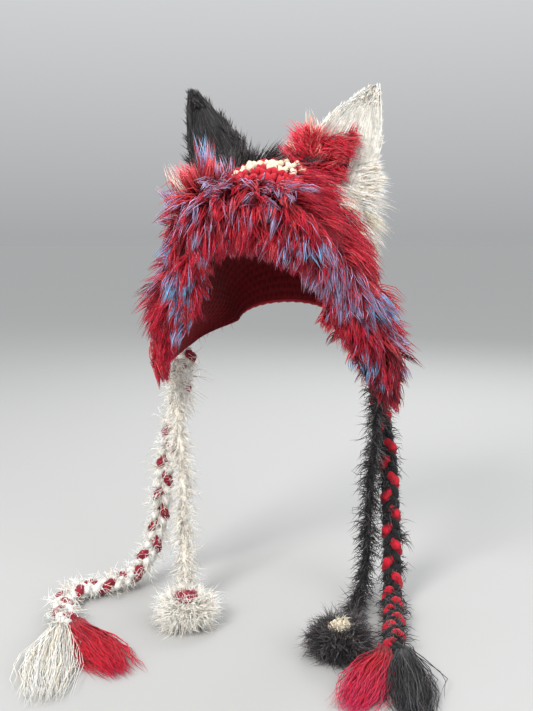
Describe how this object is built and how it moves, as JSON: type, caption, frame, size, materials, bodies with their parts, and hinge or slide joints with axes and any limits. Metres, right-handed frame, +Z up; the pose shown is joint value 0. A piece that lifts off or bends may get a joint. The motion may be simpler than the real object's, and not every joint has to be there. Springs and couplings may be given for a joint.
{
  "type": "crochet hood with cat ears",
  "caption": "Crochet hood with cat ears, a deep fur brim over the face edge and ear flaps, and braided and round ties ending in plumes and rosettes.",
  "frame": {"origin": "the highest point inside the crown, where it sits on a head", "axes": "+Z up, the face looks along -Y, +X is the wearer's left, to the right in a view of the face"},
  "size_m": [0.4065, 0.4464, 0.5682],
  "materials": {
    "crochet": "chunky crocheted wool, red with cream and black parts",
    "brim_fur": "long red fur yarn with lavender and light blue tips",
    "black_yarn": "long black fur yarn, matt",
    "white_yarn": "long warm white fur yarn, soft",
    "red_yarn": "long crimson fur yarn",
    "white_braid": "white fluffy yarn braided with dark red crochet",
    "black_braid": "black fluffy yarn braided with bright red crochet",
    "rose_yarn": "crocheted rose red wool",
    "ecru_yarn": "crocheted ecru wool"
  },
  "bodies": {
    "root": {"crown": "crochet", "brim_fur": "brim_fur", "ear_black": "black_yarn", "ear_white": "white_yarn", "ear_lining": "red_yarn", "braid_white": "white_braid", "braid_black": "black_braid", "cord_white": "white_yarn", "cord_black": "black_yarn", "tassel_white": "white_yarn", "tassel_red_left": "red_yarn", "tassel_black": "black_yarn", "tassel_red_right": "red_yarn", "rosette_white": "white_yarn", "rosette_white_centre": "rose_yarn", "rosette_black": "black_yarn", "rosette_black_centre": "ecru_yarn"}
  },
  "joints": []
}
